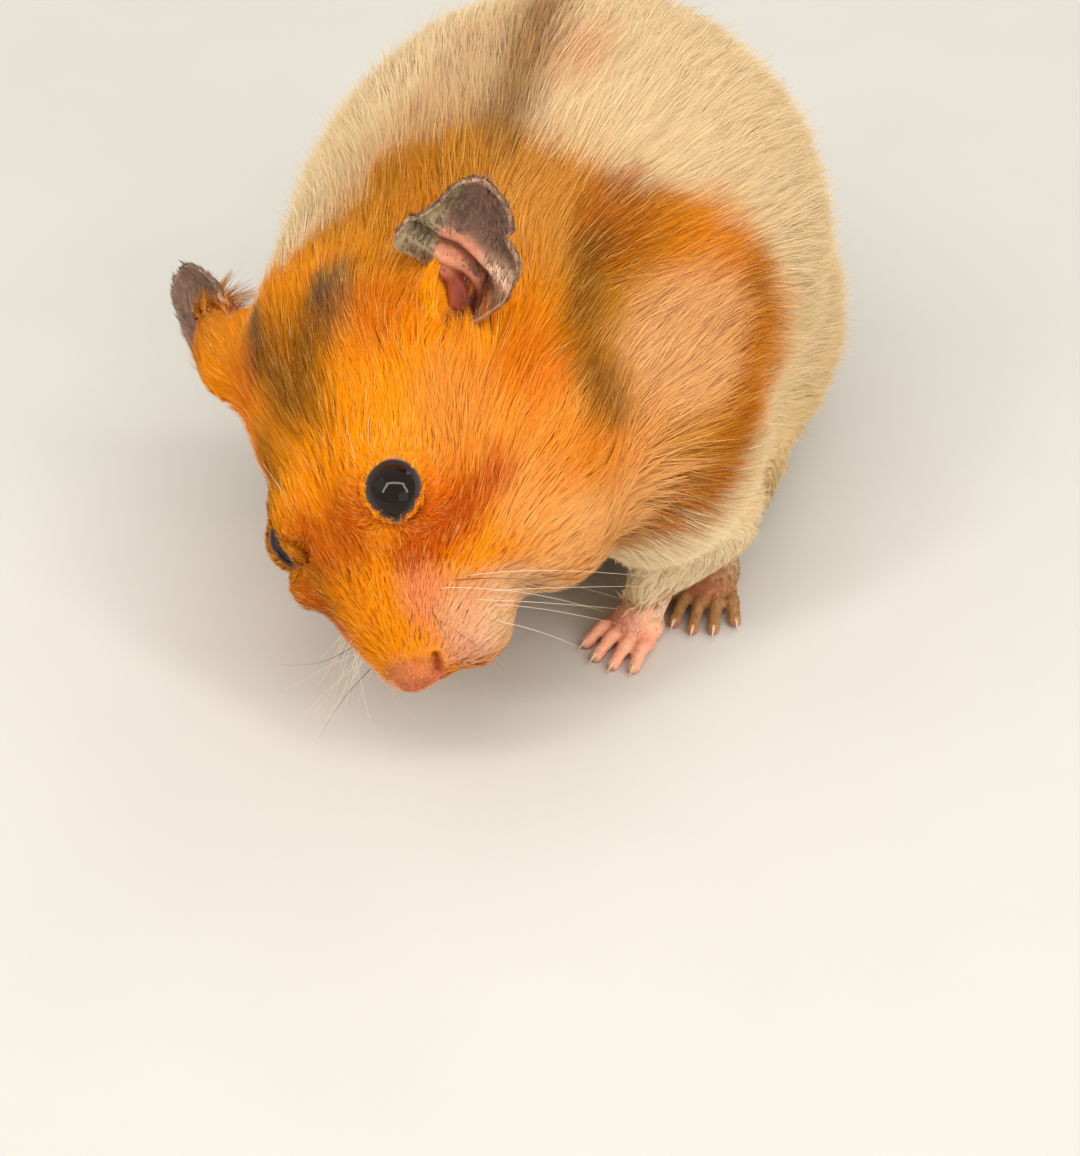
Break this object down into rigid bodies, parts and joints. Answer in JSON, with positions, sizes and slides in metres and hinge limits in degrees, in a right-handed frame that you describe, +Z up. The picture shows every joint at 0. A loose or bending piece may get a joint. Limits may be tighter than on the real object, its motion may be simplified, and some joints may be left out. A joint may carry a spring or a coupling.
{
  "type": "hamster",
  "caption": "Life-size still model of a banded golden Syrian hamster, crouched with its head bent down and tilted as if gnawing.",
  "frame": {"origin": "on the floor, under the middle of the animal's bounding box", "axes": "+Z up, the animal's head towards -Y, its left side towards +X"},
  "size_m": [0.0646, 0.09, 0.058],
  "materials": {
    "fur_golden": "golden fur with darker tips",
    "fur_cream": "cream-white fur",
    "bare_skin": "pink skin, thinly haired",
    "ear_skin": "thin grey-brown skin, finely haired",
    "nose_skin": "moist pink skin",
    "eye_dark": "wet black-brown eye"
  },
  "bodies": {
    "root": {"head": "fur_golden", "neck": "fur_golden", "trunk": "fur_cream", "foreleg_left": "fur_cream", "foreleg_right": "fur_cream", "hind_leg_left": "fur_cream", "hind_leg_right": "fur_cream", "forepaw_left": "bare_skin", "forepaw_right": "bare_skin", "hind_foot_left": "bare_skin", "hind_foot_right": "bare_skin", "tail": "bare_skin", "ear_left": "ear_skin", "ear_right": "ear_skin", "nose": "nose_skin", "eye_left": "eye_dark", "eye_right": "eye_dark"}
  },
  "joints": []
}
